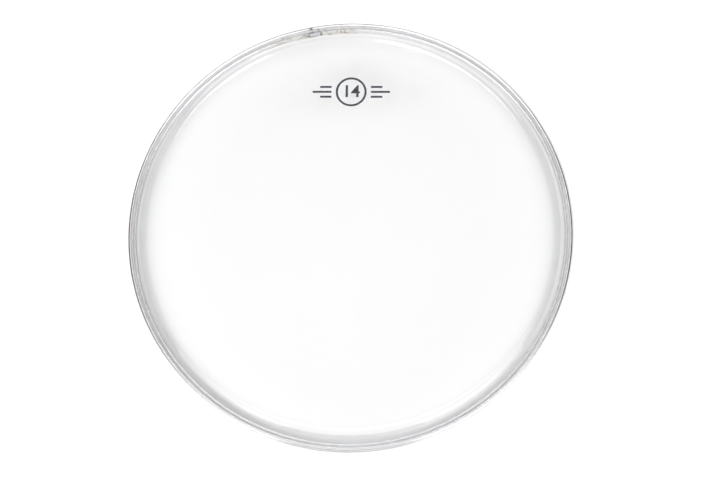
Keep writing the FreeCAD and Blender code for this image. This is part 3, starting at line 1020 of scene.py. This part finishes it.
class DRUMHEAD_OT_resin_bed(bpy.types.Operator):
    """Make the cast resin around the film's skirt"""

    bl_idname = "drumhead.resin_bed"
    bl_label = "Resin bed"

    def execute(self, context):
        resin = head_settings().resin
        hoop = head_settings().hoop
        film = head_settings().film
        key = head_settings().key
        inner_skirt = film.skirt_radius - film.gauge
        middle = (hoop.cavity_radius + film.skirt_radius) / 2
        half = hoop.cavity_radius - middle
        largest_round = math.hypot(half, resin.climb) * half / resin.climb
        edge = resin.level + resin.climb / 2
        dip = resin.level - resin.climb / 2
        corners = (
            (hoop.cavity_radius, hoop.floor_top, hoop.channel_round),
            (hoop.cavity_radius, edge, 0),
            (middle, dip, resin.bowl * largest_round),
            (film.skirt_radius, edge, 0),
            (film.skirt_radius, film.skirt_bottom, 0),
            (inner_skirt, film.skirt_bottom, 0),
            (inner_skirt, resin.level, 0),
            (hoop.groove_radius, resin.level, 0),
            (hoop.groove_radius, hoop.floor_top, hoop.channel_round),
        )
        piece = new_piece("resin_ring", section_mesh("resin_section", corners, closed=True))
        material = resin_material(resin, hoop.seam_angle)
        turned = {
            "Path Radius": hoop.bore_radius,
            "Segments": resin.segments,
            "Round Steps": resin.round_steps,
            "Material": material,
        }
        add_tree(piece, "Turned section", turned)
        half_way = (film.skirt_bottom + resin.level) / 2
        add_tree(piece, "Poured surface", {"Above": half_way, "Ripple": resin.ripple, "Material": material})
        cut_block(
            piece,
            key.turn,
            inner=key.inner_radius - OVERRUN,
            outer=key.outer_radius,
            span=key.span,
            low=hoop.floor_top - OVERRUN,
            high=key.top,
        )
        dress(piece, "resin_bed")
        return {"FINISHED"}


class DRUMHEAD_OT_clear_film(bpy.types.Operator):
    """Make the formed film with its slotted skirt"""

    bl_idname = "drumhead.clear_film"
    bl_label = "Clear film"

    def execute(self, context):
        film = head_settings().film
        lean = film.collar_angle
        inner_skirt = film.skirt_radius - film.gauge
        underside = film.top - film.gauge
        foot = head_settings().hoop.wall_height + film.foot_rise
        outer_foot = foot + film.gauge * math.tan(math.pi / 4 - lean / 2)
        shoulder = inner_skirt - (underside - foot) / math.tan(lean)
        outer_shoulder = shoulder + film.gauge * math.tan(lean / 2)
        flat_edge = shoulder - film.shoulder_round * math.tan(lean / 2) - film.flat_margin
        corners = (
            (0, film.top, 0),
            (flat_edge, film.top, 0),
            (outer_shoulder, film.top, film.shoulder_round + film.gauge),
            (film.skirt_radius, outer_foot, film.foot_round + film.gauge),
            (film.skirt_radius, film.skirt_bottom, 0),
            (inner_skirt, film.skirt_bottom, 0),
            (inner_skirt, foot, film.foot_round),
            (shoulder, underside, film.shoulder_round),
            (flat_edge, underside, 0),
            (0, underside, 0),
        )
        piece = new_piece("film_formed", section_mesh("film_section", corners, closed=False))
        material = film_material(film)
        turned = {
            "Path Radius": film.skirt_radius,
            "Segments": film.segments,
            "Round Steps": film.round_steps,
            "Material": material,
        }
        add_tree(piece, "Turned section", turned)
        slots = {
            "Count": film.slot_count,
            "Radius": film.skirt_radius,
            "Middle": (film.skirt_bottom + head_settings().resin.level) / 2,
            "Length": film.slot_length,
            "Height": film.slot_height,
            "Depth": OVERRUN,
            "Material": material,
        }
        add_tree(piece, "Slot row", slots)
        settle(piece)
        dress(piece, "clear_film")
        return {"FINISHED"}


def flat_plate(surface, outline, low, high):
    """Adds a flat plate with an outline of (x, y) points to a bmesh."""
    base = [surface.verts.new((x, y, low)) for x, y in outline]
    top = [surface.verts.new((x, y, high)) for x, y in outline]
    surface.faces.new(base[::-1])
    surface.faces.new(top)
    for index in range(len(outline)):
        following = (index + 1) % len(outline)
        surface.faces.new((base[index], base[following], top[following], top[index]))


def flat_ring(surface, centre_y, steps, section):
    """Adds a ring about (0, centre_y) to a bmesh, with a section of (radius, height) points."""
    rows = []
    for index in range(steps):
        turn = FULL_TURN * index / steps
        across, along = math.cos(turn), math.sin(turn)
        places = [(across * radius, centre_y + along * radius, height) for radius, height in section]
        rows.append([surface.verts.new(place) for place in places])
    for index, row in enumerate(rows):
        following = rows[(index + 1) % steps]
        for side in range(len(section)):
            after = (side + 1) % len(section)
            surface.faces.new((row[side], following[side], following[after], row[after]))


def size_digits(mark):
    """Mesh of upright digits about the origin."""
    curve = bpy.data.curves.new("size_digits", "FONT")
    curve.body = mark.size_text
    curve.size = mark.digit_height
    curve.align_x = "CENTER"
    curve.align_y = "CENTER"
    curve.extrude = mark.ink_depth / 2
    curve.offset = mark.digit_bold * mark.digit_height
    holder = new_piece("size_digits", curve)
    mesh = plain_mesh(holder)
    bpy.data.objects.remove(holder)
    bpy.data.curves.remove(curve)
    return mesh


class DRUMHEAD_OT_printed_mark(bpy.types.Operator):
    """Print the size in a ring, with bars beside it"""

    bl_idname = "drumhead.printed_mark"
    bl_label = "Printed mark"

    def execute(self, context):
        mark = head_settings().mark
        low = head_settings().film.top + mark.ink_depth / 2
        high = low + mark.ink_depth
        surface = bmesh.new()
        digits = size_digits(mark)
        digits.transform(Matrix.Translation((0, mark.centre_y, (low + high) / 2)))
        surface.from_mesh(digits)
        bpy.data.meshes.remove(digits)
        outer = mark.ring_radius
        inner = outer - mark.ring_width
        section = ((inner, low), (outer, low), (outer, high), (inner, high))
        flat_ring(surface, mark.centre_y, mark.ring_steps, section)
        start = outer + 2 * mark.ring_width
        half = mark.bar_width / 2
        for hand in (-1, 1):
            for step, part in ((-1, mark.short_bar), (0, 1), (1, mark.short_bar)):
                near, far = sorted((hand * start, hand * (start + part * mark.bar_length)))
                y = mark.centre_y + step * mark.bar_gap
                outline = ((near, y - half), (far, y - half), (far, y + half), (near, y + half))
                flat_plate(surface, outline, low, high)
        weld(surface)
        mesh = mesh_from(surface, "size_mark")
        mesh.materials.append(ink_material(mark))
        piece = new_piece("size_mark", mesh)
        dress(piece)
        return {"FINISHED"}


# Stage


def add_lamp(name, place, size, power, serves):
    """Soft rectangular lamp that faces the middle of the head, for glossy or for matt surfaces."""
    lamp = bpy.data.lights.new(name, "AREA")
    lamp.shape = "RECTANGLE"
    lamp.size, lamp.size_y = size
    lamp.energy = power
    holder = new_piece(name, lamp)
    holder.location = place
    holder.rotation_euler = (-Vector(place)).to_track_quat("-Z", "Y").to_euler()
    holder.visible_glossy = serves == "glossy"
    holder.visible_diffuse = serves == "matt"


def make_world():
    """Studio surroundings: grey near the horizon, white overhead and brightest in one direction."""
    world = bpy.data.worlds.new("studio")
    bpy.context.scene.world = world
    world.use_nodes = True
    tree = world.node_tree
    tree.nodes.clear()
    output = tree.nodes.new("ShaderNodeOutputWorld")
    way = add_node(tree, "ShaderNodeTexCoord", {}).outputs["Generated"]
    rise = ramp(tree, split(tree, way)[2], *SKY_RISE, low_result=SKY_LOW, high_result=SKY_HIGH)
    facing = vector_value(tree, "DOT_PRODUCT", way, GLEAM_WAY)
    bright = ramp(tree, facing, math.cos(GLEAM_SPREAD), 1.0, low_result=0.0, high_result=GLEAM)
    strength = math_node(tree, "ADD", rise, bright)
    sky = result_of(tree, "ShaderNodeBackground", {"Strength": strength})
    tree.links.new(sky, output.inputs["Surface"])


def place_camera(stage):
    """Camera at the photograph's viewing angle and framing."""
    camera = bpy.data.cameras.new("camera")
    camera.sensor_width = SENSOR_WIDTH
    camera.lens = SENSOR_WIDTH * stage.distance * stage.scale / stage.picture_width
    holder = new_piece("camera", camera)
    toward = Vector(
        (
            math.cos(stage.elevation) * math.sin(stage.azimuth),
            -math.cos(stage.elevation) * math.cos(stage.azimuth),
            math.sin(stage.elevation),
        )
    )
    upright = Vector((-math.sin(stage.roll), math.cos(stage.roll), 0))
    right = upright.cross(toward).normalized()
    up = toward.cross(right)
    aside = (stage.picture_width / 2 - stage.centre_x) / stage.scale
    above = (stage.centre_y - stage.picture_height / 2) / stage.scale
    middle = Vector((0, 0, HOOP_HEIGHT / 2))
    place = middle + right * aside + up * above + toward * stage.distance
    turn = Matrix((right, up, toward)).transposed().to_4x4()
    holder.matrix_world = Matrix.Translation(place) @ turn
    bpy.context.scene.camera = holder


class DRUMHEAD_OT_stage(bpy.types.Operator):
    """Set up the floor, the studio light and the camera"""

    bl_idname = "drumhead.stage"
    bl_label = "Stage"

    def execute(self, context):
        stage = head_settings().stage
        surface = bmesh.new()
        bmesh.ops.create_grid(surface, x_segments=1, y_segments=1, size=stage.floor_size / 2)
        mesh = mesh_from(surface, "studio_floor")
        mesh.transform(Matrix.Translation((0, 0, -stage.floor_drop)))
        mesh.materials.append(floor_material(stage))
        new_piece("studio_floor", mesh)
        make_world()
        for lamp in LAMPS:
            add_lamp(*lamp)
        place_camera(stage)
        context.scene.view_settings.view_transform = "Standard"
        return {"FINISHED"}


class DRUMHEAD_PT_pieces(bpy.types.Panel):
    """Lists the steps that dress the drum head"""

    bl_idname = "DRUMHEAD_PT_pieces"
    bl_label = "Drum head"
    bl_space_type = "VIEW_3D"
    bl_region_type = "UI"
    bl_category = "Drum head"

    def draw(self, context):
        for step in STEPS:
            self.layout.operator(step.bl_idname)


SETTINGS = (
    HoopSettings,
    KeySettings,
    ResinSettings,
    FilmSettings,
    MarkSettings,
    StageSettings,
    DrumHeadSettings,
)
STEPS = (
    DRUMHEAD_OT_channel_hoop,
    DRUMHEAD_OT_splice_key,
    DRUMHEAD_OT_resin_bed,
    DRUMHEAD_OT_clear_film,
    DRUMHEAD_OT_printed_mark,
    DRUMHEAD_OT_stage,
)


def register():
    """Registers the classes and the scene's settings."""
    for item in (*SETTINGS, *STEPS, DRUMHEAD_PT_pieces):
        bpy.utils.register_class(item)
    bpy.types.Scene.drum_head = PointerProperty(type=DrumHeadSettings)


def unregister():
    """Removes the classes and the scene's settings."""
    del bpy.types.Scene.drum_head
    for item in reversed((*SETTINGS, *STEPS, DRUMHEAD_PT_pieces)):
        bpy.utils.unregister_class(item)


def main():
    """Builds every piece and the stage."""
    register()
    turned_section_tree()
    slot_row_tree()
    poured_surface_tree()
    ring_position_group()
    drawn_lines_group()
    specks_group()
    bpy.ops.drumhead.channel_hoop()
    bpy.ops.drumhead.splice_key()
    bpy.ops.drumhead.resin_bed()
    bpy.ops.drumhead.clear_film()
    bpy.ops.drumhead.printed_mark()
    bpy.ops.drumhead.stage()


if __name__ == "__main__":
    main()
